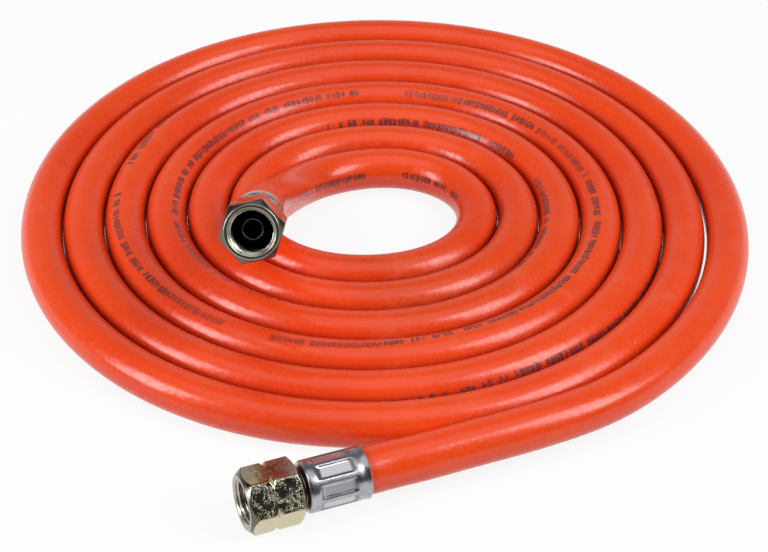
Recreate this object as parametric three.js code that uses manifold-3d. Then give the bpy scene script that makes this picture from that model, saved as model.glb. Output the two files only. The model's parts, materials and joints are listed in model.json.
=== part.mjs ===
// Low-pressure gas hose, about 3 m long, laid down in a flat coil, with a left-hand union nut on each end.
// Millimetres, +Z up, standing on z = 0 with the origin under the middle of the whole hose.
//
// Each end is a union nut held captive on a hose nipple: the nut's rear shoulder bears on the back cone of the
// nipple's collar. A steel ferrule hooks into the nipple's groove and is crimped over the hose by eight jaws.

import * as THREE from 'three';
import * as BufferGeometryUtils from 'three/addons/utils/BufferGeometryUtils.js';
import Module from 'manifold-3d';

const wasm = await Module();
wasm.setup();

// Running or seating clearance between two pieces that touch
const CLEARANCE = 0.3;

// Hose
const HOSE_BORE = 6.3;
const HOSE_WALL = 3.5;
const HOSE_SIDES = 12;
const BORE_SIDES = 6;

// Coil, seen from above: the hose runs outwards clockwise, and the first turn is the innermost.
// The turns are a little wider from left to right than from front to back.
const FIRST_TURN_RADIUS = 31.5;
const TURN_GAP = 0.27;
const COIL_OVAL = 2.9;
const COIL_START_TURN = -0.15;
const COIL_END_TURN = 6.15;
const STATIONS_PER_TURN = 20;

// The last turn stands a little off the one inside it on the right, and the stiff end rises towards its nut
const STANDOFF = 0.6;
const STANDOFF_TURN = 6.05;
const STANDOFF_TURNS = 0.11;
const END_LIFT = 2.45;
const LIFT_FROM_TURN = 5.93;
const LIFT_TO_TURN = 6.22;

// Union nut, G 1/4 left-hand, for a 17 mm spanner
const NUT_ACROSS_FLATS = 17;
const NUT_LENGTH = 16.6;
const NUT_FACE_DIAMETER = 15.8;
const NUT_REAR_DIAMETER = 14.4;
const NUT_FACE_CHAMFER = 45;
const NUT_REAR_CHAMFER = 30;
const THREAD_ROOT_DIAMETER = 13.2;
const THREAD_DEPTH = 11.2;
const THREAD_COUNTERSINK = 0.45;
const NOTCH_FROM_FACE = 8;
const NOTCH_WIDTH = 1.9;
const NOTCH_DEPTH = 0.95;

// Nipple, turned from one bar
const NIPPLE_BORE = 5.2;
const NOSE_SETBACK = 6.4;
const NOSE_TIP_DIAMETER = 6.8;
const NOSE_HALF_ANGLE = 30;
const COLLAR_DIAMETER = 11;
const COLLAR_LENGTH = 2;
const NECK_DIAMETER = 9.1;
const STEM_RING_DIAMETER = 12.4;
const STEM_RING_LENGTH = 0.6;
const STEM_GROOVE_DIAMETER = 9.4;
const TAIL_ROOT_DIAMETER = 6.4;
const BARB_DIAMETER = 7.2;
const BARB_COUNT = 4;
const BARB_PITCH = 3.4;
const NUT_TO_STEM_RING = 0.3;

// Ferrule, drawn from sheet and crimped
const FERRULE_DIAMETER = 15.3;
const FERRULE_WALL = 0.85;
const FERRULE_LENGTH = 18.4;
const FERRULE_CORNER = 1.1;
const FERRULE_MOUTH_LENGTH = 2.4;
const CRIMP_JAWS = 8;
const CRIMP_DEPTH = 0.6;
const CRIMP_FROM_CORNER = 1.4;
const CRIMP_LENGTH = 12.6;
const CRIMP_RAMP = 2.2;

// Straight hose just behind each ferrule
const HOSE_LEAD = 5;

// Where each end lies: the middle of the nut's open face, from the coil's axis on the floor, the way that the
// face looks (heading anticlockwise from +X, and climb above the floor) and how far the hexagon and the crimp
// are turned.
const OUTER_END = { mouth: [-34.25, -135.25, 10.45], heading: 203.1, climb: 2.4, hexTurn: 10.2, crimpTurn: 24.3 };
const INNER_END = { mouth: [-33.1, -79.7, 62], heading: 271, climb: 31, hexTurn: 12.4, crimpTurn: 10 };

// Hand-laid stretches between each fitting and the coil, from the coil's axis on the floor
const OUTER_TAIL = [[14.0, -115.7, 8.95], [27.0, -110.8, 9.15], [40.0, -105.9, 9.3], [53.0, -100.3, 9.2]];
const INNER_RISE = [[8.73, 25.1, 6.65], [0.49, 25.1, 6.7], [-8.04, 22.96, 7.0], [-16.7, 18.5, 7.8], [-23.9, 11.4, 9.6], [-28.9, 1.4, 13.4], [-31.9, -9.3, 18.7], [-33.9, -20.3, 26.4], [-33.9, -32.0, 33.4]];

const radians = THREE.MathUtils.degToRad;
const hoseRadius = HOSE_BORE / 2 + HOSE_WALL;

const COLOURS = {
  hose: new THREE.MeshStandardMaterial({ color: 0xf04a1c, roughness: 0.45, metalness: 0 }),
  nut: new THREE.MeshStandardMaterial({ color: 0xb9b29a, roughness: 0.35, metalness: 1 }),
  nipple: new THREE.MeshStandardMaterial({ color: 0x6d6a66, roughness: 0.35, metalness: 1 }),
  ferrule: new THREE.MeshStandardMaterial({ color: 0xa3a5a8, roughness: 0.3, metalness: 1 }),
};

// Geometry helpers

function closedMesh(geometry) {
  const plain = new THREE.BufferGeometry();
  plain.setAttribute('position', geometry.getAttribute('position').clone());
  if (geometry.index) plain.setIndex(geometry.index.clone());
  const merged = BufferGeometryUtils.mergeVertices(plain, 1e-4);
  const index = Array.from(merged.index.array);
  const corners = merged.getAttribute('position');
  const [a, b, c] = [new THREE.Vector3(), new THREE.Vector3(), new THREE.Vector3()];
  const triangles = [];
  let volume = 0;
  for (let i = 0; i < index.length; i += 3) {
    const [p, q, r] = index.slice(i, i + 3);
    if (p === q || q === r || r === p) continue;
    triangles.push(p, q, r);
    a.fromBufferAttribute(corners, p);
    b.fromBufferAttribute(corners, q);
    c.fromBufferAttribute(corners, r);
    volume += a.dot(b.cross(c));
  }
  if (volume < 0) triangles.reverse();
  merged.setIndex(triangles);
  return merged;
}

function toManifold(geometry) {
  const closed = closedMesh(geometry);
  return new wasm.Manifold(new wasm.Mesh({
    numProp: 3,
    vertProperties: new Float32Array(closed.getAttribute('position').array),
    triVerts: new Uint32Array(closed.index.array),
  }));
}

function toGeometry(manifold) {
  const mesh = manifold.getMesh();
  const geometry = new THREE.BufferGeometry();
  geometry.setAttribute('position', new THREE.BufferAttribute(new Float32Array(mesh.vertProperties), 3));
  geometry.setIndex(new THREE.BufferAttribute(new Uint32Array(mesh.triVerts), 1));
  return geometry;
}

// A ring turned about the Z axis from a closed outline of [radius, z] corners
function turned(outline, segments) {
  const corners = [...outline, outline[0]].map(([radius, z]) => new THREE.Vector2(radius, z));
  return new THREE.LatheGeometry(corners, segments).rotateX(Math.PI / 2);
}

// A solid of revolution about the Z axis: the outline starts and ends on the axis
function turnedSolid(outline, segments) {
  const [, firstZ] = outline[0];
  const [, lastZ] = outline[outline.length - 1];
  const corners = [[0, firstZ], ...outline, [0, lastZ]].map(([radius, z]) => new THREE.Vector2(radius, z));
  return new THREE.LatheGeometry(corners, segments).rotateX(Math.PI / 2);
}

function circlePoints(radius, sides) {
  return Array.from({ length: sides }, (_, i) => {
    const angle = (2 * Math.PI * i) / sides;
    return new THREE.Vector2(radius * Math.cos(angle), radius * Math.sin(angle));
  });
}

// Fitting, in its own frame: the nut's open face is at z = 0 and looks along +Z, and the hose leaves along -Z

const noseRise = (COLLAR_DIAMETER - NOSE_TIP_DIAMETER) / 2;
const collarFront = -NOSE_SETBACK - noseRise / Math.tan(radians(NOSE_HALF_ANGLE));
const collarBack = collarFront - COLLAR_LENGTH;
const neckFront = collarBack - (COLLAR_DIAMETER - NECK_DIAMETER) / 2;
const stemRingFront = -NUT_LENGTH - NUT_TO_STEM_RING;
const stemRingBack = stemRingFront - STEM_RING_LENGTH;
const ferruleFront = stemRingBack - CLEARANCE;
const ferruleBack = ferruleFront - FERRULE_LENGTH;
const grooveBack = ferruleFront - FERRULE_WALL - CLEARANCE;
const hoseEnd = grooveBack - CLEARANCE;
const crimpFront = ferruleFront - FERRULE_CORNER - CRIMP_FROM_CORNER;
const crimpBack = crimpFront - CRIMP_LENGTH;
const barbFront = hoseEnd - 0.9;
const tailTip = barbFront - BARB_COUNT * BARB_PITCH - 0.6;
const crimpedInnerRadius = FERRULE_DIAMETER / 2 - FERRULE_WALL - CRIMP_DEPTH;

function unionNutGeometry() {
  const across = NUT_ACROSS_FLATS / Math.sqrt(3);
  const hexagon = new THREE.ExtrudeGeometry(new THREE.Shape(circlePoints(across, 6)), { depth: NUT_LENGTH, bevelEnabled: false, steps: 1 });
  hexagon.translate(0, 0, -NUT_LENGTH);

  // Chamfers turned on both ends leave a round face and curved edges on the flats
  const rim = across + 0.5;
  const chamfer = (faceDiameter, angle) => (rim - faceDiameter / 2) * Math.tan(radians(angle));
  const barrel = turnedSolid([
    [NUT_FACE_DIAMETER / 2, 0], [rim, -chamfer(NUT_FACE_DIAMETER, NUT_FACE_CHAMFER)],
    [rim, -NUT_LENGTH + chamfer(NUT_REAR_DIAMETER, NUT_REAR_CHAMFER)], [NUT_REAR_DIAMETER / 2, -NUT_LENGTH],
  ], 36);

  // Countersunk thread bore, then the shoulder that draws the nipple's collar up, then the hole round its neck
  const bore = THREAD_ROOT_DIAMETER / 2;
  const rearHole = NECK_DIAMETER / 2 + CLEARANCE;
  const seatOffset = CLEARANCE * Math.SQRT2;
  const seatBack = neckFront - seatOffset + CLEARANCE;
  const seatTop = seatBack + (COLLAR_DIAMETER / 2 - rearHole) + CLEARANCE;
  const inside = turnedSolid([
    [bore + THREAD_COUNTERSINK + 0.5, 0.5], [bore + THREAD_COUNTERSINK, 0], [bore, -THREAD_COUNTERSINK * 1.4],
    [bore, Math.min(-THREAD_DEPTH, seatTop)], [COLLAR_DIAMETER / 2 + CLEARANCE, Math.min(-THREAD_DEPTH, seatTop)],
    [rearHole, seatBack], [rearHole, -NUT_LENGTH + 0.4], [rearHole + 0.9, -NUT_LENGTH - 0.5],
  ], 36);

  // The groove round the corners that marks a left-hand thread
  const notch = turned([
    [across - NOTCH_DEPTH, -NOTCH_FROM_FACE],
    [across + 0.2, -NOTCH_FROM_FACE + NOTCH_WIDTH / 2 * (1 + 0.2 / NOTCH_DEPTH)],
    [across + 0.2, -NOTCH_FROM_FACE - NOTCH_WIDTH / 2 * (1 + 0.2 / NOTCH_DEPTH)],
  ], 36);

  return toGeometry(toManifold(hexagon).intersect(toManifold(barrel)).subtract(toManifold(inside)).subtract(toManifold(notch)));
}

function nippleGeometry() {
  const bore = NIPPLE_BORE / 2;
  const root = TAIL_ROOT_DIAMETER / 2;
  const barb = BARB_DIAMETER / 2;
  const ring = STEM_RING_DIAMETER / 2;
  const outline = [
    [bore + 0.25, -NOSE_SETBACK], [NOSE_TIP_DIAMETER / 2 - 0.2, -NOSE_SETBACK], [NOSE_TIP_DIAMETER / 2, -NOSE_SETBACK - 0.25],
    [COLLAR_DIAMETER / 2, collarFront], [COLLAR_DIAMETER / 2, collarBack], [NECK_DIAMETER / 2, neckFront],
    [NECK_DIAMETER / 2, stemRingFront], [ring - 0.15, stemRingFront], [ring, stemRingFront - 0.15],
    [ring, stemRingBack + 0.15], [ring - 0.15, stemRingBack], [STEM_GROOVE_DIAMETER / 2, stemRingBack],
    [STEM_GROOVE_DIAMETER / 2, grooveBack], [root, grooveBack],
  ];
  for (let i = 0; i < BARB_COUNT; i += 1) {
    const z = barbFront - i * BARB_PITCH;
    outline.push([root, z], [barb, z - 0.15], [root, z - BARB_PITCH + 0.4]);
  }
  outline.push([root, tailTip + 0.5], [bore + 0.2, tailTip], [bore, tailTip], [bore, -NOSE_SETBACK - 0.4]);
  return closedMesh(turned(outline, 24));
}

// How deep the jaws press the ferrule at an angle and a height, from 0 on the ribs to 1 in a dent
function crimpPress(angle, z) {
  const across = THREE.MathUtils.smoothstep(0.5 + 0.5 * Math.cos(CRIMP_JAWS * angle), 0.06, 0.42);
  const front = THREE.MathUtils.smoothstep(crimpFront - z, 0, CRIMP_RAMP);
  const back = THREE.MathUtils.smoothstep(z - crimpBack, 0, CRIMP_RAMP);
  return across * front * back;
}

function ferruleGeometry() {
  const outer = FERRULE_DIAMETER / 2;
  const inner = outer - FERRULE_WALL;
  const flangeHole = STEM_GROOVE_DIAMETER / 2 + CLEARANCE;
  const mouthInner = hoseRadius + CLEARANCE;
  const mouthOuter = mouthInner + FERRULE_WALL - 0.1;
  const mouthFront = ferruleBack + FERRULE_MOUTH_LENGTH;

  // Levels along the crimp, closer together on its two ramps
  const ramp = [0, 0.45, 1].map((share) => share * CRIMP_RAMP);
  const levels = [...ramp.map((d) => crimpFront - d), ...ramp.map((d) => crimpBack + d).reverse()];

  const corner = FERRULE_CORNER;
  const outline = [
    [flangeHole, ferruleFront], [outer - corner, ferruleFront], [outer, ferruleFront - corner],
    ...levels.map((z) => [outer, z]),
    [outer, mouthFront], [mouthOuter, mouthFront - 0.8], [mouthOuter, ferruleBack],
    [mouthInner, ferruleBack], [mouthInner, mouthFront - 0.8], [inner, mouthFront],
    ...levels.map((z) => [inner, z]).reverse(),
    [inner, ferruleFront - FERRULE_WALL], [flangeHole, ferruleFront - FERRULE_WALL],
  ];
  const sleeve = closedMesh(turned(outline, CRIMP_JAWS * 6));

  const points = sleeve.getAttribute('position');
  for (let i = 0; i < points.count; i += 1) {
    const [x, y, z] = [points.getX(i), points.getY(i), points.getZ(i)];
    const radius = Math.hypot(x, y);
    const pressed = (radius - CRIMP_DEPTH * crimpPress(Math.atan2(y, x), z)) / radius;
    points.setXY(i, x * pressed, y * pressed);
  }
  return sleeve;
}

// Hose

// Stands a fitting's own frame in the hose's frame
function fittingFrame(end) {
  const frame = new THREE.Group();
  frame.position.set(...end.mouth);
  const heading = radians(end.heading);
  const climb = radians(end.climb);
  const outward = new THREE.Vector3(Math.cos(heading) * Math.cos(climb), Math.sin(heading) * Math.cos(climb), Math.sin(climb));
  const side = new THREE.Vector3(-Math.sin(heading), Math.cos(heading), 0);
  const up = new THREE.Vector3().crossVectors(outward, side);
  frame.quaternion.setFromRotationMatrix(new THREE.Matrix4().makeBasis(side, up, outward));
  frame.updateMatrixWorld(true);
  return frame;
}

function onAxis(frame, z) {
  return frame.localToWorld(new THREE.Vector3(0, 0, z));
}

// The middle of the hose in the coil, a number of turns out from the innermost turn's right-hand side
function coilPoint(turn) {
  const angle = -2 * Math.PI * turn;
  const pitch = 2 * hoseRadius + TURN_GAP;
  const even = FIRST_TURN_RADIUS + pitch * turn;
  const standoff = STANDOFF * Math.exp(-(((turn - STANDOFF_TURN) / STANDOFF_TURNS) ** 2));

  // The gap is square to the hose, so where the turns run aslant to the circle their middles stand further apart
  const slope = pitch / (2 * Math.PI) + 2 * COIL_OVAL * Math.sin(2 * angle);
  const aslant = 0.5 * slope ** 2 * (1 / FIRST_TURN_RADIUS - 1 / even);
  const radius = even + COIL_OVAL * Math.cos(2 * angle) + aslant + standoff;
  const lift = END_LIFT * THREE.MathUtils.smoothstep(turn, LIFT_FROM_TURN, LIFT_TO_TURN);
  return new THREE.Vector3(radius * Math.cos(angle), radius * Math.sin(angle), hoseRadius + lift);
}

// From the outer fitting, round the coil to the inner fitting
function hoseStations(outerFrame, innerFrame) {
  const straight = [hoseEnd, ferruleBack + HOSE_LEAD, ferruleBack, ferruleBack - HOSE_LEAD];
  const stations = straight.map((z) => onAxis(outerFrame, z));
  stations.push(...OUTER_TAIL.map((point) => new THREE.Vector3(...point)));
  const steps = Math.round((COIL_END_TURN - COIL_START_TURN) * STATIONS_PER_TURN);
  for (let i = 0; i <= steps; i += 1) stations.push(coilPoint(COIL_END_TURN - i / STATIONS_PER_TURN));
  stations.push(...INNER_RISE.map((point) => new THREE.Vector3(...point)));
  stations.push(...straight.map((z) => onAxis(innerFrame, z)).reverse());
  return stations;
}

// A smooth curve through the stations, stepped station by station instead of by equal lengths, so that the
// turns side by side keep the same corners
class HoseRoute extends THREE.CatmullRomCurve3 {
  getUtoTmapping(u) {
    return u;
  }
}

function hoseGeometry(outerFrame, innerFrame) {
  const stations = hoseStations(outerFrame, innerFrame);
  const section = new THREE.Shape(circlePoints(hoseRadius, HOSE_SIDES));
  section.holes.push(new THREE.Path(circlePoints(HOSE_BORE / 2, BORE_SIDES)));
  const tube = new THREE.ExtrudeGeometry(section, {
    steps: stations.length - 1,
    extrudePath: new HoseRoute(stations),
    bevelEnabled: false,
  });

  // Inside each ferrule the hose is squeezed thinner, and its bore is stretched over the nipple's barbs
  const squeezed = crimpedInnerRadius - CLEARANCE;
  const pocket = BARB_DIAMETER / 2 + CLEARANCE;
  const pocketBack = tailTip - CLEARANCE;
  const squeezeBack = crimpBack - 0.2;
  const beyond = hoseRadius + CLEARANCE;
  const waist = turned([[squeezed, hoseEnd + 1], [beyond, hoseEnd + 1], [beyond, squeezeBack - 0.8], [hoseRadius, squeezeBack - 0.8], [squeezed, squeezeBack]], 24);
  const socket = turnedSolid([[pocket, hoseEnd + 1], [pocket, pocketBack + 0.4], [pocket - 0.4, pocketBack]], 24);

  let hose = toManifold(tube);
  for (const frame of [outerFrame, innerFrame]) {
    for (const tool of [waist, socket]) hose = hose.subtract(toManifold(tool.clone().applyMatrix4(frame.matrixWorld)));
  }
  return toGeometry(hose);
}

// Assembly

function namedMesh(name, geometry, material) {
  const mesh = new THREE.Mesh(geometry, material);
  mesh.name = name;
  return mesh;
}

function fitting(prefix, end) {
  const frame = fittingFrame(end);
  const nut = namedMesh(`${prefix}_union_nut`, unionNutGeometry(), COLOURS.nut);
  nut.rotation.z = radians(end.hexTurn);
  frame.add(nut);
  frame.add(namedMesh(`${prefix}_nipple`, nippleGeometry(), COLOURS.nipple));
  const ferrule = namedMesh(`${prefix}_ferrule`, ferruleGeometry(), COLOURS.ferrule);
  ferrule.rotation.z = radians(end.crimpTurn);
  frame.add(ferrule);
  return frame;
}

const model = new THREE.Group();
const outerFitting = fitting('outer', OUTER_END);
const innerFitting = fitting('inner', INNER_END);
model.add(outerFitting, innerFitting);
model.add(namedMesh('hose', hoseGeometry(outerFitting, innerFitting), COLOURS.hose));

// Puts the origin on the floor, under the middle of the whole hose
const box = new THREE.Box3().setFromObject(model, true);
const centre = box.getCenter(new THREE.Vector3());
model.position.set(-centre.x, -centre.y, -box.min.z);
model.updateMatrixWorld(true);

export default model;
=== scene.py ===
import json
import math

import bpy
import numpy as np
from mathutils import Matrix, Vector


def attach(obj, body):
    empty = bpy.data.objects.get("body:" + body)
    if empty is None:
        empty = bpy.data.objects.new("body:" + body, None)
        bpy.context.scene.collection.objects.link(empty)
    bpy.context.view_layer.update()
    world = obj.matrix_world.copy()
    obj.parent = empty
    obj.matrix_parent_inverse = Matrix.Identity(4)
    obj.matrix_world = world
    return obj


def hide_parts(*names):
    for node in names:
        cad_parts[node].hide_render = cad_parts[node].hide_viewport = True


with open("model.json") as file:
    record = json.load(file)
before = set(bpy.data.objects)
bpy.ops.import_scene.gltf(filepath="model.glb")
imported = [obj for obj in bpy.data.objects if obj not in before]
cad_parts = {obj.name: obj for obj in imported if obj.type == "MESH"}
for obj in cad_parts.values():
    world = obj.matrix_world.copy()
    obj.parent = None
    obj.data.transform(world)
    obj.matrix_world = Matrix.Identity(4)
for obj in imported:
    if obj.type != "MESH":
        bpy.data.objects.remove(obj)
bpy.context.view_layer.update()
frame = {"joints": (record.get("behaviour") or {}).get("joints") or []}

MM = 0.001
rad = math.radians


# Lengths along a fitting, in millimetres from the nut's mouth
NUT_LENGTH = 16.6
FERRULE_FRONT, FERRULE_BACK, HOSE_END = -17.8, -36.2, -19.25
CRIMP_FRONT, CRIMP_BACK = -20.3, -32.9


# Where the two fittings stand
def fitting_frame(joint_name, heading, climb):
    """+Z points out of the nut's mouth, and the mouth is at the origin."""
    joint = next(j for j in frame["joints"] if j["name"] == joint_name)
    h, c = rad(heading), rad(climb)
    outward = Vector((math.cos(h) * math.cos(c), math.sin(h) * math.cos(c), math.sin(c)))
    side = Vector((-math.sin(h), math.cos(h), 0))
    up = outward.cross(side)
    mouth = Vector(joint["pos_m"]) + outward * NUT_LENGTH / 2 * MM
    return Matrix.Translation(mouth) @ Matrix((side, up, outward)).transposed().to_4x4()


OUTER = fitting_frame("outer_nut_swivel", 203.1, 2.4)
INNER = fitting_frame("inner_nut_swivel", 271, 31)
OUTER_HEX_TURN, INNER_HEX_TURN = rad(10.2), rad(12.4)
OUTER_CRIMP_TURN, INNER_CRIMP_TURN = rad(24.3), rad(10)
# The coil's axis on the floor, from the outer mouth's place beside it
OUTER_MOUTH = Vector((-34.25, -135.25, 10.45)) * MM
COIL = OUTER.translation - OUTER_MOUTH

# Camera
CAMERA_TARGET = COIL + Vector((3.932, -24.16, 0)) * MM
CAMERA_TARGET.z = 0
CAMERA_DISTANCE = 0.61974
CAMERA_ELEVATION = rad(39.94)
CAMERA_AZIMUTH = rad(0.37)
CAMERA_ROLL = rad(0.43)
CAMERA_LENS = 89.55

level_back = Vector((math.sin(CAMERA_AZIMUTH), -math.cos(CAMERA_AZIMUTH), 0))
back = level_back * math.cos(CAMERA_ELEVATION) + Vector((0, 0, math.sin(CAMERA_ELEVATION)))
level_right = Vector((math.cos(CAMERA_AZIMUTH), math.sin(CAMERA_AZIMUTH), 0))
level_up = back.cross(level_right)
cam_right = level_right * math.cos(CAMERA_ROLL) + level_up * math.sin(CAMERA_ROLL)
cam_up = level_up * math.cos(CAMERA_ROLL) - level_right * math.sin(CAMERA_ROLL)
camera = bpy.data.objects.new("camera", bpy.data.cameras.new("camera"))
camera_turn = Matrix((cam_right, cam_up, back)).transposed().to_4x4()
camera.matrix_world = Matrix.Translation(CAMERA_TARGET + back * CAMERA_DISTANCE) @ camera_turn
camera.data.lens = CAMERA_LENS
camera.data.sensor_width = 36
camera.data.sensor_fit = "HORIZONTAL"
camera.data.clip_start = 0.01
bpy.context.scene.collection.objects.link(camera)
bpy.context.scene.camera = camera
bpy.context.scene.view_settings.view_transform = "Standard"


# Mesh helpers
def new_piece(name, verts, faces, body, material, matrix=None, sharp=40):
    mesh = bpy.data.meshes.new(name)
    mesh.from_pydata(np.asarray(verts, float).tolist(), [], np.asarray(faces).tolist())
    mesh.validate()
    mesh.polygons.foreach_set("use_smooth", np.ones(len(mesh.polygons), bool))
    mesh.set_sharp_from_angle(angle=rad(sharp))
    mesh.materials.append(material)
    piece = bpy.data.objects.new(name, mesh)
    bpy.context.scene.collection.objects.link(piece)
    if matrix is not None:
        piece.matrix_world = matrix
    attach(piece, body)
    return piece


def ring_grid(rows, angles):
    """A closed ring of rows of (radius, z) in mm, each a number or one value per angle.

    The outer skin goes backwards.
    """
    count = len(angles)
    verts = []
    for radius, z in rows:
        radius = np.broadcast_to(np.asarray(radius, float), count)
        z = np.broadcast_to(np.asarray(z, float), count)
        verts.append(np.stack([radius * np.cos(angles), radius * np.sin(angles), z], -1))
    verts = np.concatenate(verts) * MM
    i, j = np.meshgrid(np.arange(len(rows)), np.arange(count), indexing="ij")
    i2, j2 = (i + 1) % len(rows), (j + 1) % count
    faces = np.stack([i * count + j, i2 * count + j, i2 * count + j2, i * count + j2], -1).reshape(-1, 4)
    return verts, faces


def smoothstep(x, low, high):
    t = np.clip((np.asarray(x, float) - low) / (high - low), 0, 1)
    return t * t * (3 - 2 * t)


def soft_min(a, b, k):
    h = np.clip(0.5 + 0.5 * (b - a) / k, 0, 1)
    return b * (1 - h) + a * h - k * h * (1 - h)


# Node helpers
class Shader:
    def __init__(self, name):
        self.material = bpy.data.materials.new(name)
        self.material.use_nodes = True
        self.tree = self.material.node_tree
        self.tree.nodes.clear()

    def node(self, kind, inputs=None, **settings):
        made = self.tree.nodes.new(kind)
        for key, value in settings.items():
            setattr(made, key, value)
        for key, value in (inputs or {}).items():
            socket = made.inputs[key]
            if isinstance(value, bpy.types.NodeSocket):
                self.tree.links.new(value, socket)
            else:
                socket.default_value = value
        return made

    def math(self, operation, a, b=0.0, c=0.0):
        return self.node("ShaderNodeMath", {0: a, 1: b, 2: c}, operation=operation).outputs[0]

    def step(self, value, low, high, out_low=0.0, out_high=1.0):
        limits = {"From Min": low, "From Max": high, "To Min": out_low, "To Max": out_high}
        made = self.node("ShaderNodeMapRange", {"Value": value, **limits}, interpolation_type="SMOOTHSTEP")
        return made.outputs["Result"]

    def mix(self, share, a, b):
        made = self.node("ShaderNodeMix", data_type="RGBA")
        for index, value in ((0, share), (6, a), (7, b)):
            if isinstance(value, bpy.types.NodeSocket):
                self.tree.links.new(value, made.inputs[index])
            else:
                made.inputs[index].default_value = value
        return made.outputs[2]

    def noise(self, vector, scale, detail=2.0, roughness=0.5, distortion=0.0):
        shape = {"Scale": scale, "Detail": detail, "Roughness": roughness, "Distortion": distortion}
        return self.node("ShaderNodeTexNoise", {"Vector": vector, **shape}).outputs["Fac"]

    def flat_vector(self, x, y):
        return self.node("ShaderNodeCombineXYZ", {"X": x, "Y": y, "Z": 0.0}).outputs[0]

    def attribute(self, name):
        return self.node("ShaderNodeAttribute", attribute_name=name).outputs["Fac"]

    def bump(self, height, distance, strength=1.0, normal=None):
        inputs = {"Height": height, "Distance": distance, "Strength": strength}
        if normal is not None:
            inputs["Normal"] = normal
        return self.node("ShaderNodeBump", inputs).outputs[0]

    def surface(self, **inputs):
        titled = ("base_color", "sheen_weight", "sheen_roughness", "sheen_tint")
        named = {}
        for key, value in inputs.items():
            if key != "IOR":
                key = key.replace("_", " ").title() if key in titled else key.capitalize()
            named[key] = value
        shader = self.node("ShaderNodeBsdfPrincipled", named)
        self.node("ShaderNodeOutputMaterial", {"Surface": shader.outputs[0]})
        return self.material


def rgb(r, g, b):
    return (r, g, b, 1.0)


# Hose
HOSE_RADIUS = 6.65
VISIBLE_RADIUS = 6.77
FIRST_TURN_RADIUS, PITCH, COIL_OVAL = 31.5, 13.57, 2.9
OUTER_TAIL = [(14.0, -115.7, 8.95), (27.0, -110.8, 9.15), (40.0, -105.9, 9.3), (53.0, -100.3, 9.2)]
INNER_RISE = [(8.73, 25.1, 6.65), (0.49, 25.1, 6.7), (-8.04, 22.96, 7.0), (-16.7, 18.5, 7.8), (-23.9, 11.4, 9.6),
              (-28.9, 1.4, 13.4), (-31.9, -9.3, 18.7), (-33.9, -20.3, 26.4), (-33.9, -32.0, 33.4)]
COIL_END_TURN, STATIONS_PER_TURN, COIL_STATIONS = 6.15, 20, 127
STANDOFF, STANDOFF_TURN, STANDOFF_TURNS = 0.6, 6.05, 0.11
END_LIFT, LIFT_FROM_TURN, LIFT_TO_TURN = 2.45, 5.93, 6.22


def coil_point(turn):
    angle = -2 * math.pi * turn
    even = FIRST_TURN_RADIUS + PITCH * turn
    slope = PITCH / (2 * math.pi) + 2 * COIL_OVAL * math.sin(2 * angle)
    # Turns that run aslant to their neighbours need a little more room
    aslant = 0.5 * slope ** 2 * (1 / FIRST_TURN_RADIUS - 1 / even)
    radius = even + COIL_OVAL * math.cos(2 * angle) + aslant
    # The last turn stands a little off the one inside it on the right, and rises towards its fitting
    radius += STANDOFF * math.exp(-(((turn - STANDOFF_TURN) / STANDOFF_TURNS) ** 2))
    lift = END_LIFT * float(smoothstep(turn, LIFT_FROM_TURN, LIFT_TO_TURN))
    return (radius * math.cos(angle), radius * math.sin(angle), HOSE_RADIUS + lift)


def on_axis(fitting, z):
    return (fitting @ Vector((0, 0, z * MM)) - COIL) / MM


straight = [HOSE_END, FERRULE_BACK + 5, FERRULE_BACK, FERRULE_BACK - 5]
stations = [on_axis(OUTER, z) for z in straight] + OUTER_TAIL
stations += [coil_point(COIL_END_TURN - i / STATIONS_PER_TURN) for i in range(COIL_STATIONS)]
stations += INNER_RISE + [on_axis(INNER, z) for z in reversed(straight)]
stations = np.array([tuple(p) for p in stations]) * MM + np.array(COIL)


def smooth_curve(points):
    """A natural cubic spline through the points, by chord length."""
    at = np.r_[0, np.cumsum(np.linalg.norm(np.diff(points, axis=0), axis=1))]
    gap = np.diff(at)
    n = len(points)
    system, right = np.eye(n), np.zeros((n, 3))
    for i in range(1, n - 1):
        system[i, i - 1:i + 2] = gap[i - 1], 2 * (gap[i - 1] + gap[i]), gap[i]
        right[i] = 6 * ((points[i + 1] - points[i]) / gap[i] - (points[i] - points[i - 1]) / gap[i - 1])
    bend = np.linalg.solve(system, right)

    def place(s):
        i = np.clip(np.searchsorted(at, s) - 1, 0, n - 2)
        a, b = ((at[i + 1] - s) / gap[i])[:, None], ((s - at[i]) / gap[i])[:, None]
        curved = ((a ** 3 - a) * bend[i] + (b ** 3 - b) * bend[i + 1]) * (gap[i] ** 2)[:, None] / 6
        return a * points[i] + b * points[i + 1] + curved
    return at[-1], place


total, place = smooth_curve(stations)
END_STRETCH = 0.060
end_steps = np.arange(0, END_STRETCH, 0.001)
fine = np.concatenate([end_steps, np.linspace(END_STRETCH, total - END_STRETCH, 1010), total - end_steps[::-1]])
fine = np.unique(np.round(fine, 6))
centre = place(fine)
tangent = np.gradient(centre, fine, axis=0)
tangent /= np.linalg.norm(tangent, axis=1)[:, None]
sideways = np.cross(tangent, (0, 0, 1))
sideways /= np.linalg.norm(sideways, axis=1)[:, None]
upward = np.cross(sideways, tangent)

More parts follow.
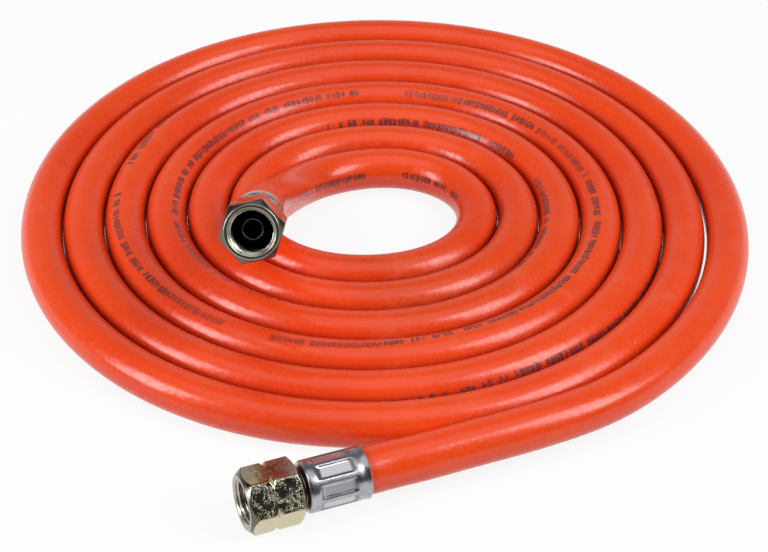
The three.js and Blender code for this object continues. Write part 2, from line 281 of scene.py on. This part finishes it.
# The printed line wanders round the hose: degrees from the top, outwards of the coil, at places counted from the
# outer end, of which the last stands for the hose's whole length
LINE_AT = [0, 400, 900, 1200, 1320, 1345, 1361, 1383, 1398, 1420, 1500, 1600, 1660, 1690, 1709, 1730, 1750, 1776,
           1790, 1809, 1834, 1854, 1871, 1888, 1908, 1942, 1958, 1976, 1999, 2034, 2070, 2094, 2137, 2157, 2182,
           2199, 2216, 2231, 2248, 2267, 2290, 2340, 2365, 2392, 2423, 2455, 2515, 2530, 2560, 2700, 2725, 2764,
           2808, 2840, 2950, 2973, 2998, 3043, 3141]
LINE_ANGLE = [150, 140, 130, 120, 92, 76, 66, 55, 62, 74, 85, 80, 62, 35, 14, 21, 24, 15,
              10, 11, 3, 0, -11, -22, -18, -12, -9, -15, -24, -27, -33, -30, -36, -38, -33,
              -30, -22, -24, -26, -32, -45, -50, -36, -42, -48, -51, -57, -62, -90, -90, -50, -51,
              -50, -85, -85, -55, -70, -76, -85]
line = np.interp(fine / total * LINE_AT[-1], LINE_AT, LINE_ANGLE)
kernel = np.hanning(15)
line = np.convolve(np.pad(line, 7, mode="edge"), kernel / kernel.sum(), "valid")

# Squeezed inside each ferrule, swelling a little just outside it
SQUEEZED_RADIUS, MOUTH_RADIUS, SWELLING = 5.9, 6.78, 0.14
from_end = np.minimum(fine, total - fine) / MM
ferrule_depth = HOSE_END - FERRULE_BACK
radius = SQUEEZED_RADIUS + (MOUTH_RADIUS - SQUEEZED_RADIUS) * smoothstep(
    from_end, ferrule_depth - 3.4, ferrule_depth - 1.2)
radius += (VISIBLE_RADIUS + SWELLING - MOUTH_RADIUS) * smoothstep(
    from_end, ferrule_depth, ferrule_depth + 2.0)
radius -= SWELLING * smoothstep(from_end, ferrule_depth + 2.5, ferrule_depth + 12)

SIDES = 36
turn = np.arange(SIDES) / SIDES
around = np.radians(line)[:, None] + math.pi + 2 * math.pi * turn[None, :]
spoke = upward[:, None, :] * np.cos(around)[..., None] + sideways[:, None, :] * np.sin(around)[..., None]
ring = centre[:, None, :] + (radius * MM)[:, None, None] * spoke
ring[..., 2] = np.maximum(ring[..., 2], 0.00002)      # flat where it rests on the floor
rows = len(fine)
hose_verts = [ring.reshape(-1, 3)]
i, j = np.meshgrid(np.arange(rows - 1), np.arange(SIDES), indexing="ij")
j2 = (j + 1) % SIDES
hose_faces = [
    np.stack([i * SIDES + j, i * SIDES + j2, (i + 1) * SIDES + j2, (i + 1) * SIDES + j], -1).reshape(-1, 4)]
along_corner = [np.stack([fine[i], fine[i], fine[i + 1], fine[i + 1]], -1).reshape(-1, 4)]
across_low, across_high = (j / SIDES - 0.5), ((j + 1) / SIDES - 0.5)
girth = 2 * math.pi * VISIBLE_RADIUS * MM
across_corner = [np.stack([across_low, across_high, across_high, across_low], -1).reshape(-1, 4) * girth]

# Both ends turn into the bore, which is stretched over the nipple's tail: depth and radius, in millimetres
BORE_PROFILE = ((0.0, 3.9), (14.5, 3.9), (16.0, 3.15), (30.0, 3.15), (30.0, 0.01))
base = rows * SIDES
for end, inward in ((0, 1), (rows - 1, -1)):
    previous = end * SIDES
    for depth, bore in BORE_PROFILE:
        k = int(np.argmin(np.abs(fine - (depth * MM if inward > 0 else total - depth * MM))))
        level = centre[k] + bore * MM * (
            upward[k] * np.cos(around[end])[:, None] + sideways[k] * np.sin(around[end])[:, None])
        hose_verts.append(level)
        jj = np.arange(SIDES)
        jn = (jj + 1) % SIDES
        quad = np.stack([previous + jj, base + jj, base + jn, previous + jn], -1)
        hose_faces.append(quad if inward > 0 else quad[:, ::-1])
        along_corner.append(np.full((SIDES, 4), fine[k]))
        across_corner.append(np.full((SIDES, 4), 0.02))
        previous = base
        base += SIDES

hose_verts, hose_faces = np.concatenate(hose_verts), np.concatenate(hose_faces)
along_corner, across_corner = np.concatenate(along_corner), np.concatenate(across_corner)

# How deep each point of the skin lies in a groove between two turns, which sets the painted groove shade
SAME_TURN = 0.06
groove = np.zeros(len(hose_verts))
for row in range(rows):
    elsewhere = centre[np.abs(fine - fine[row]) > SAME_TURN]
    gap = np.linalg.norm(ring[row][:, None, :] - elsewhere[None, :, :], axis=2).min(axis=1) / MM - VISIBLE_RADIUS
    groove[row * SIDES:(row + 1) * SIDES] = smoothstep(gap, 3.0, 0.5)


def hose_material():
    s = Shader("orange_hose")
    place = s.node("ShaderNodeTexCoord").outputs["Object"]
    along, across = s.attribute("along"), s.attribute("across")

    # Tone drifts over the coil, and fine drawing lines run lengthwise
    drift = s.noise(place, 22.0, 3.0, 0.5)
    streak = s.noise(
        s.flat_vector(s.math("MULTIPLY", along, 18.0), s.math("MULTIPLY", across, 1400.0)), 1.0, 3.0, 0.6)
    colour = s.mix(s.step(drift, 0.3, 0.7), rgb(0.84, 0.059, 0.0080), rgb(0.90, 0.075, 0.0100))
    colour = s.mix(s.math("MULTIPLY", s.step(streak, 0.45, 0.8), 0.10), colour, rgb(0.72, 0.043, 0.006))

    # Painted shade: darker towards the lower half, near the floor, and darker still in the grooves where the turns
    # touch
    above_floor = s.node("ShaderNodeSeparateXYZ", {"Vector": place}).outputs[2]
    painted_low_shade = s.step(s.math("ADD", above_floor, s.math("MULTIPLY", drift, 0.0016)), 0.0118, 0.0068)
    colour = s.mix(s.math("MULTIPLY", painted_low_shade, 0.30), colour, rgb(0.50, 0.018, 0.003))
    # Painted shade in the grooves between turns
    colour = s.mix(s.math("MULTIPLY", s.attribute("groove"), 0.72), colour, rgb(0.40, 0.013, 0.003))

    # Thin dust lies in patches
    patch = s.noise(place, 70.0, 5.0, 0.62, 0.4)
    cloud = s.noise(place, 16.0, 2.0, 0.5)
    dust = s.math("MULTIPLY", s.step(patch, 0.48, 0.78), s.step(cloud, 0.42, 0.66))
    colour = s.mix(s.math("MULTIPLY", dust, 0.22), colour, rgb(0.84, 0.20, 0.10))
    cells = s.node("ShaderNodeTexVoronoi", {"Vector": place, "Scale": 520.0, "Randomness": 1.0})
    rare = s.math(
        "GREATER_THAN", s.node("ShaderNodeSeparateColor", {"Color": cells.outputs["Color"]}).outputs[0], 0.975)
    speck = s.math("MULTIPLY", rare, s.step(cells.outputs["Distance"], 0.16, 0.07))
    colour = s.mix(s.math("MULTIPLY", speck, 0.35), colour, rgb(0.90, 0.42, 0.30))

    # A worn line of plain ink bars in groups, which has bled and smudged
    INK_CELL, INK_GROUP = 0.00170, 0.0155
    blot = s.noise(place, 1150.0, 2.0, 0.5)
    moved = s.node("ShaderNodeMapping", {"Vector": place, "Location": (0.37, 0.11, 0.53)}).outputs[0]
    bleed = s.noise(moved, 1150.0, 2.0, 0.5)
    cell = s.math("DIVIDE", s.math("MULTIPLY_ADD", s.math("SUBTRACT", blot, 0.5), 0.0016, along), INK_CELL)
    index, inside = s.math("FLOOR", cell), s.math("FRACT", cell)

    def chance(value, seed):
        return s.node(
            "ShaderNodeTexWhiteNoise", {"W": s.math("ADD", value, seed)}, noise_dimensions="1D").outputs["Value"]

    def bar(middle, half):
        off_middle = s.math("ABSOLUTE", s.math("SUBTRACT", inside, middle))
        return s.step(off_middle, s.math("ADD", half, 0.15), s.math("SUBTRACT", half, 0.10))

    group = chance(s.math("FLOOR", s.math("DIVIDE", along, INK_GROUP)), 7.3)
    present = s.math(
        "MULTIPLY", s.math("GREATER_THAN", chance(index, 1.1), 0.13), s.math("GREATER_THAN", group, 0.10))
    first = bar(0.26, s.math("MULTIPLY_ADD", chance(index, 5.9), 0.07, 0.14))
    second = s.math("MULTIPLY", bar(0.72, 0.15), s.math("GREATER_THAN", chance(index, 3.7), 0.2))
    jitter = s.math("MULTIPLY_ADD", chance(index, 9.1), 0.0003, -0.00015)
    off_line = s.math("SUBTRACT", across, jitter)
    height = s.math("ABSOLUTE", s.math("MULTIPLY_ADD", s.math("SUBTRACT", bleed, 0.5), 0.0012, off_line))
    half_height = s.math("MULTIPLY_ADD", chance(index, 2.2), 0.00035, 0.00100)
    tall = s.step(height, s.math("ADD", half_height, 0.00026), s.math("SUBTRACT", half_height, 0.00024))
    core = s.math("MULTIPLY", s.step(height, 0.00075, 0.00035), bar(0.49, 0.40))
    ink = s.math(
        "MAXIMUM", s.math("MULTIPLY", s.math("MAXIMUM", first, second), tall), s.math("MULTIPLY", core, 0.6))
    worn = s.step(s.noise(place, 1100.0, 3.0, 0.6), 0.30, 0.50, 0.5, 1.0)
    faded = s.step(s.noise(place, 26.0, 2.0, 0.5), 0.36, 0.56, 0.62, 1.0)
    ink = s.math("MULTIPLY", s.math("MULTIPLY", ink, present), s.math("MULTIPLY", worn, faded))
    for start, stop in ((2.47, 2.55), (2.67, 2.80)):
        rubbed = s.math("MULTIPLY", s.step(along, start, start + 0.02), s.step(along, stop, stop - 0.02))
        ink = s.math("MULTIPLY", ink, s.math("MULTIPLY_ADD", rubbed, -0.75, 1.0))
    colour = s.mix(s.math("MULTIPLY", ink, 0.92), colour, rgb(0.046, 0.028, 0.038))

    rough = s.math("ADD", s.step(patch, 0.3, 0.8, 0.18, 0.25), s.math("MULTIPLY", dust, 0.10))
    rough = s.math("ADD", rough, s.step(s.noise(place, 780.0, 3.0, 0.65), 0.42, 0.66, 0.0, 0.13))
    grain = s.noise(place, 2600.0, 2.0, 0.5)
    swell = s.noise(place, 130.0, 2.0, 0.5)
    normal = s.bump(swell, 0.00022, 0.5)
    normal = s.bump(s.noise(place, 620.0, 3.0, 0.6), 0.00006, 0.6, normal)
    normal = s.bump(streak, 0.00003, 0.5, normal)
    normal = s.bump(grain, 0.00002, 0.4, normal)
    return s.surface(base_color=colour, roughness=rough, IOR=1.50, sheen_weight=0.05, sheen_roughness=0.35,
                     sheen_tint=rgb(1.0, 0.62, 0.52), normal=normal)


hose = new_piece("rubber_hose", hose_verts, hose_faces, "hose_body", hose_material(), sharp=60)
skin_values = (
    ("along", "CORNER", along_corner), ("across", "CORNER", across_corner), ("groove", "POINT", groove))
for name, domain, values in skin_values:
    hose.data.attributes.new(name, "FLOAT", domain).data.foreach_set(
        "value", values.reshape(-1).astype(np.float32))
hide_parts("hose")


# Metals
def local_place(s):
    place = s.node("ShaderNodeTexCoord").outputs["Object"]
    split = s.node("ShaderNodeSeparateXYZ", {"Vector": place})
    x, y, z = split.outputs
    radial = s.math("SQRT", s.math("ADD", s.math("MULTIPLY", x, x), s.math("MULTIPLY", y, y)))
    return place, radial, z


def turned_rings(s, value, scale):
    inputs = {"W": s.math("MULTIPLY", value, scale), "Scale": 1.0, "Detail": 3.0, "Roughness": 0.6}
    return s.node("ShaderNodeTexNoise", inputs, noise_dimensions="1D").outputs["Fac"]


def nut_material():
    s = Shader("zinc_plated_nut")
    place, radial, z = local_place(s)
    tone = s.noise(place, 160.0, 4.0, 0.6, 0.3)
    colour = s.mix(s.step(tone, 0.35, 0.68), rgb(0.60, 0.545, 0.40), rgb(0.59, 0.535, 0.28))
    colour = s.mix(s.step(s.noise(place, 90.0, 2.0, 0.5), 0.50, 0.66, 0.0, 0.7), colour, rgb(0.63, 0.50, 0.42))

    # The machined end and the bore are greyer than the plated flats
    machined = s.math("MAXIMUM", s.math("LESS_THAN", radial, 0.0083), s.math("GREATER_THAN", z, -0.0007))
    colour = s.mix(s.math("MULTIPLY", machined, 0.75), colour, rgb(0.47, 0.46, 0.40))

    # The flats carry dark stains, with paler scuffs over them; one flat is darkened much more than the others, which
    # is a painted dark reflection
    flats = s.math("MULTIPLY", s.math("GREATER_THAN", radial, 0.0083), s.math("LESS_THAN", z, -0.0007))
    stain = s.step(s.noise(place, 420.0, 6.0, 0.72, 1.2), 0.50, 0.62)
    facing_side = (math.cos(rad(30)), math.sin(rad(30)), 0)
    toward = s.node("ShaderNodeVectorMath", {0: place, 1: facing_side}, operation="DOT_PRODUCT").outputs["Value"]
    dark_reflecting_flat = s.math("MULTIPLY", s.step(toward, 0.00825, 0.00840), flats)
    wear_and_dark_reflection = s.math("MAXIMUM", dark_reflecting_flat, s.math("MULTIPLY", flats, 0.22))
    # Light stains on all flats, and a painted dark reflection at full strength on the one flat
    colour = s.mix(s.math("MULTIPLY", s.math("MULTIPLY", stain, wear_and_dark_reflection), 0.45), colour, rgb(0.20, 0.16, 0.13))
    veins = s.math("ABSOLUTE", s.math("SUBTRACT", s.noise(place, 760.0, 4.0, 0.66, 1.8), 0.5))
    zones = s.step(s.noise(place, 300.0, 3.0, 0.6, 0.8), 0.36, 0.66)
    scratch = s.math("MULTIPLY", s.math("MULTIPLY", s.step(veins, 0.046, 0.0), zones), wear_and_dark_reflection)
    colour = s.mix(s.math("MULTIPLY", scratch, 0.75), colour, rgb(0.30, 0.33, 0.31))

    # Painted dark reflection on the chamfer round the front face
    chamfer = s.step(s.math("ABSOLUTE", s.math("SUBTRACT", s.math("ADD", radial, z), 0.00786)), 0.00022, 0.00008)
    chamfer = s.math("MULTIPLY", chamfer, s.math("LESS_THAN", z, -0.0001))
    colour = s.mix(s.math("MULTIPLY", chamfer, 0.82), colour, rgb(0.075, 0.070, 0.065))

    # Painted shade darkens the bore behind its first threads
    deep = s.math("MULTIPLY", s.math("LESS_THAN", radial, 0.0070), s.step(z, -0.0012, -0.0060))
    colour = s.mix(s.math("MULTIPLY", deep, 0.95), colour, rgb(0.015, 0.014, 0.014))
    rings = turned_rings(s, s.math("ADD", radial, z), 9000.0)
    rough = s.math("ADD", s.step(tone, 0.3, 0.75, 0.09, 0.14), s.math("MULTIPLY", scratch, 0.22))
    rough = s.math("ADD", rough, s.math("MULTIPLY", machined, 0.17))
    normal = s.bump(s.noise(place, 520.0, 3.0, 0.6, 0.6), 0.00006, 0.5)
    normal = s.bump(s.math("MULTIPLY", rings, machined), 0.00003, 0.6, normal)
    normal = s.bump(scratch, 0.00003, 0.7, normal)
    return s.surface(base_color=colour, metallic=1.0, roughness=rough, normal=normal)


def nipple_material():
    s = Shader("turned_nipple")
    place, radial, z = local_place(s)
    rings = turned_rings(s, s.math("ADD", radial, s.math("MULTIPLY", z, 0.6)), 14000.0)
    tone = s.noise(place, 300.0, 3.0, 0.6)
    # The nose, inside the nut, is coloured nearly black; the stem behind it is dark brownish steel
    steel = s.mix(s.step(tone, 0.3, 0.7), rgb(0.20, 0.13, 0.12), rgb(0.13, 0.085, 0.08))
    near_black_nose = s.mix(s.step(rings, 0.35, 0.7), rgb(0.016, 0.015, 0.016), rgb(0.040, 0.038, 0.039))
    colour = s.mix(s.step(z, -0.0150, -0.0140), steel, near_black_nose)
    # Painted highlight: the rounded lip of the bore is lighter
    lip = s.math("MULTIPLY", s.step(z, -0.0074, -0.0066), s.step(radial, 0.0040, 0.0031))
    colour = s.mix(s.math("MULTIPLY", lip, 0.6), colour, rgb(0.26, 0.26, 0.27))
    normal = s.bump(rings, 0.00002, 0.5)
    rough = s.step(tone, 0.3, 0.7, 0.20, 0.30)
    return s.surface(base_color=colour, metallic=1.0, roughness=rough, anisotropic=0.55, normal=normal,
                     tangent=s.node("ShaderNodeTangent", direction_type="RADIAL", axis="Z").outputs[0])


def ferrule_material():
    s = Shader("crimped_steel")
    place, radial, z = local_place(s)
    press = s.attribute("press")
    tone = s.noise(place, 210.0, 4.0, 0.6, 0.5)
    drawn = s.node("ShaderNodeMapping", {"Vector": place, "Scale": (900.0, 900.0, 90.0)}).outputs[0]
    lines = s.noise(drawn, 1.0, 4.0, 0.65)
    colour = s.mix(s.step(tone, 0.32, 0.7), rgb(0.47, 0.47, 0.50), rgb(0.37, 0.37, 0.41))
    colour = s.mix(s.math("MULTIPLY", s.step(lines, 0.55, 0.8), 0.30), colour, rgb(0.24, 0.24, 0.26))
    # Painted shade darkens the walls of the pressed dents, and a painted reflection lightens their floors
    painted_wall_shade = s.math("MULTIPLY", s.step(press, 0.08, 0.40), s.step(press, 0.97, 0.60))
    colour = s.mix(s.math("MULTIPLY", painted_wall_shade, 0.60), colour, rgb(0.14, 0.14, 0.15))
    colour = s.mix(s.math("MULTIPLY", s.step(press, 0.80, 0.99), 0.6), colour, rgb(0.72, 0.72, 0.74))
    rough = s.math("ADD", s.step(tone, 0.3, 0.7, 0.23, 0.31), s.math("MULTIPLY", s.step(lines, 0.5, 0.8), 0.08))
    normal = s.bump(lines, 0.00003, 0.45)
    normal = s.bump(s.noise(place, 500.0, 3.0, 0.6), 0.00005, 0.35, normal)
    return s.surface(base_color=colour, metallic=1.0, roughness=rough, normal=normal)


NUT, NIPPLE, FERRULE = nut_material(), nipple_material(), ferrule_material()


# Fittings, with the nut's mouth at z = 0
def nut_rows(angles):
    flat, corner = 8.5, 17 / math.sqrt(3)
    from_flat = np.mod(angles, math.pi / 3) - math.pi / 6
    hexagon = soft_min(flat / np.cos(from_flat), np.full_like(angles, corner - 0.02), 0.30)
    outside = np.concatenate([-np.linspace(0.03, 2.2, 24), np.linspace(-2.5, -6.7, 4), np.linspace(-6.95, -9.05, 16),
                              np.linspace(-9.3, -14.4, 4), np.linspace(-14.7, -16.57, 18)])
    rows = [(7.80, 0.0)]
    for z in outside:
        front = 7.86 - z / math.tan(rad(45))
        rear = 7.16 + (z + NUT_LENGTH) / math.tan(rad(30))
        groove = 8.865 + abs(z + 8)
        skin = soft_min(hexagon, np.full_like(angles, min(front, rear)), 0.20)
        rows.append((soft_min(skin, np.full_like(angles, groove), 0.16), z))
    # Rear bore round the stem, then the seat for the nipple's collar
    rows += [(7.10, -16.6), (5.75, -16.6), (5.3, -16.45), (4.85, -16.0), (4.85, -13.11), (5.8, -12.16), (6.6, -12.1),
             (6.6, -11.3)]
    pitch, crest, root = 1.337, 6.0, 6.58
    for z in np.linspace(-11.2, -0.02, 78):
        phase = np.mod(z / pitch + angles / (2 * math.pi), 1)      # rises to the left
        ridge = smoothstep(1 - np.abs(2 * phase - 1), 0.10, 0.86)
        ridge = ridge * smoothstep(z, -11.2, -10.4)
        thread = root - (root - crest) * ridge
        rows.append((np.maximum(thread, 6.98 + z * 1.05), z))
    # Two fine grooves turned into the front face
    rows += [(7.02, 0.0), (7.12, 0.0), (7.15, -0.09), (7.24, -0.09), (7.27, 0.0), (7.44, 0.0), (7.47, -0.10),
             (7.57, -0.10), (7.60, 0.0)]
    return rows


def sector_angles(sectors, steps):
    u = np.linspace(-1, 1, steps, endpoint=False)
    shape = np.sign(u) * (1 - (1 - np.abs(u)) ** 1.5)
    return np.concatenate([(k + 0.5 + shape / 2) * 2 * math.pi / sectors for k in range(sectors)])


def nipple_rows():
    # Rounded lip, cone, collar, stem, stem ring, and the groove that the ferrule hooks into
    rows = [(2.80, -6.46), (2.88, -6.41), (3.00, -6.40), (3.14, -6.42), (3.27, -6.49), (3.37, -6.60), (3.9, -7.49),
            (4.7, -8.87), (5.42, -10.0), (5.5, -10.14), (5.5, -11.9), (5.44, -12.1), (4.62, -12.92), (4.55, -13.05),
            (4.55, -16.90), (5.95, -16.90), (6.12, -16.95), (6.2, -17.06), (6.2, -17.34), (6.12, -17.45),
            (5.95, -17.50), (4.7, -17.50), (4.7, -18.95), (3.2, -18.95)]
    for k in range(4):
        z = -20.15 - 3.4 * k
        rows += [(3.2, z), (3.6, z - 0.15), (3.2, z - 3.0)]
    rows += [(3.2, -33.85), (2.8, -34.35), (2.6, -34.35), (2.6, -20.0), (2.6, -7.0), (2.63, -6.72), (2.70, -6.56)]
    return rows


def ferrule_rows(angles):
    def pressed(z):
        across = smoothstep(0.5 + 0.5 * np.cos(8 * angles), 0.06, 0.42)
        return across * smoothstep(CRIMP_FRONT - z, 0, 2.2) * smoothstep(z - CRIMP_BACK, 0, 2.2)

    jaw = np.mod(angles + math.pi / 8, math.pi / 4) - math.pi / 8
    rows, press = [(5.0, FERRULE_FRONT)], [0]
    for turn in np.linspace(0, math.pi / 2, 7):
        rows.append((6.55 + 1.1 * math.sin(turn), FERRULE_FRONT - 1.1 + 1.1 * math.cos(turn)))
        press.append(0)
    levels = np.concatenate([np.linspace(CRIMP_FRONT + 0.3, CRIMP_FRONT - 2.4, 12),
                             np.linspace(CRIMP_FRONT - 3.2, CRIMP_BACK + 3.2, 6),
                             np.linspace(CRIMP_BACK + 2.4, CRIMP_BACK - 0.3, 12)])
    for z in levels:
        p = pressed(z)
        rows.append((7.65 * (1 - p) + p * 6.95 / np.cos(jaw), z))
        press.append(p)
    # A short bell mouth round the hose
    for z, r in ((-33.8, 7.62), (-34.5, 7.58), (-35.2, 7.66), (-35.8, 7.80), (-36.05, 7.84), (-36.2, 7.74),
                 (-36.2, 7.12), (-36.0, 7.02), (-35.3, 6.95), (-33.9, 6.86)):
        rows.append((r, z))
        press.append(0)
    for z in levels[::-1]:
        p = pressed(z)
        rows.append((6.80 * (1 - p) + p * (6.95 / np.cos(jaw) - 0.85), z))
        press.append(p)
    rows += [(6.80, FERRULE_FRONT - 1.2), (6.6, FERRULE_FRONT - 0.85), (5.0, FERRULE_FRONT - 0.85)]
    press += [0, 0, 0]
    return rows, np.concatenate([np.broadcast_to(np.asarray(p, float), len(angles)) for p in press])


def build_fitting(prefix, fitting, hex_turn, crimp_turn):
    angles = sector_angles(6, 28)
    verts, faces = ring_grid(nut_rows(angles), angles)
    nut_place = fitting @ Matrix.Rotation(hex_turn, 4, "Z")
    nut = new_piece(prefix + "_nut", verts, faces, prefix + "_nut", NUT, nut_place, sharp=32)
    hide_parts(prefix + "_union_nut")

    angles = np.arange(72) * 2 * math.pi / 72
    verts, faces = ring_grid(nipple_rows(), angles)
    nipple = new_piece(prefix + "_turned_nipple", verts, faces, "hose_body", NIPPLE, fitting)
    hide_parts(prefix + "_nipple")

    angles = np.arange(192) * 2 * math.pi / 192
    rows, press = ferrule_rows(angles)
    verts, faces = ring_grid(rows, angles)
    sleeve_place = fitting @ Matrix.Rotation(crimp_turn, 4, "Z")
    sleeve = new_piece(
        prefix + "_crimped_ferrule", verts, faces, "hose_body", FERRULE, sleeve_place)
    sleeve.data.attributes.new("press", "FLOAT", "POINT").data.foreach_set("value", press.astype(np.float32))
    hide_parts(prefix + "_ferrule")
    return nut, nipple, sleeve


build_fitting("outer", OUTER, OUTER_HEX_TURN, OUTER_CRIMP_TURN)
inner_pieces = build_fitting("inner", INNER, INNER_HEX_TURN, INNER_CRIMP_TURN)


# Floor, world and lamps
FLOOR_RADIUS, FLOOR_CORNERS = 2.5, 96
floor_mesh = bpy.data.meshes.new("floor")
floor_angles = np.arange(FLOOR_CORNERS) * 2 * math.pi / FLOOR_CORNERS
corners = [(FLOOR_RADIUS * math.cos(a), FLOOR_RADIUS * math.sin(a), 0.0) for a in floor_angles]
floor_mesh.from_pydata(corners, [], [list(range(FLOOR_CORNERS))])
floor = bpy.data.objects.new("floor", floor_mesh)
bpy.context.scene.collection.objects.link(floor)
s = Shader("white_floor")
rays = s.node("ShaderNodeLightPath").outputs
seen = s.math(
    "MAXIMUM", rays["Is Camera Ray"], s.math("MAXIMUM", rays["Is Glossy Ray"], rays["Is Transmission Ray"]))
paper = s.node("ShaderNodeBsdfDiffuse", {"Color": rgb(0.90, 0.90, 0.90)})
glow = s.node("ShaderNodeEmission", {"Color": rgb(1, 1, 1), "Strength": 1.0})
both = s.node("ShaderNodeMixShader", {0: s.math("MULTIPLY", seen, 0.88), 1: paper.outputs[0], 2: glow.outputs[0]})
s.node("ShaderNodeOutputMaterial", {"Surface": both.outputs[0]})
floor_mesh.materials.append(s.material)

world = bpy.data.worlds.new("studio")
bpy.context.scene.world = world
world.use_nodes = True
tree = world.node_tree
tree.nodes.clear()
w = Shader.__new__(Shader)
w.tree = tree
direction = w.node("ShaderNodeTexCoord").outputs["Generated"]
x, y, z = w.node("ShaderNodeSeparateXYZ", {"Vector": direction}).outputs
low = w.math("MULTIPLY", w.step(z, 0.16, 0.0), w.step(y, -0.35, 0.15, 0.10, 1.0))
behind = w.math("MULTIPLY", w.step(y, 0.05, 0.85, 0.0, 0.42), w.step(z, 0.85, 0.35))
ceiling = w.step(z, 0.84, 0.94)
dark = w.mix(w.step(y, -0.25, 0.25), rgb(0.035, 0.035, 0.038), rgb(0.085, 0.085, 0.090))
shade = w.mix(w.math("MAXIMUM", w.math("MAXIMUM", low, behind), ceiling), dark, rgb(1, 1, 1))
w.node("ShaderNodeOutputWorld", {
    "Surface": w.node("ShaderNodeBackground", {"Color": shade, "Strength": 1.0}).outputs[0]})


def softbox(name, azimuth, elevation, distance, width, height, radiance):
    a, e = rad(azimuth), rad(elevation)
    outward = Vector((math.cos(a) * math.cos(e), math.sin(a) * math.cos(e), math.sin(e)))
    lamp = bpy.data.lights.new(name, "AREA")
    lamp.shape = "RECTANGLE"
    lamp.size, lamp.size_y = width, height
    lamp.energy = radiance * math.pi * width * height
    box = bpy.data.objects.new(name, lamp)
    across = Vector((-math.sin(a), math.cos(a), 0))
    upright = outward.cross(across)
    box.matrix_world = (
        Matrix.Translation(outward * distance) @ Matrix((across, upright, outward)).transposed().to_4x4())
    bpy.context.scene.collection.objects.link(box)


softbox("left_softbox", -155, 30, 1.1, 0.34, 0.68, 9.8)
softbox("right_softbox", -22, 44, 1.1, 0.42, 0.70, 7.5)
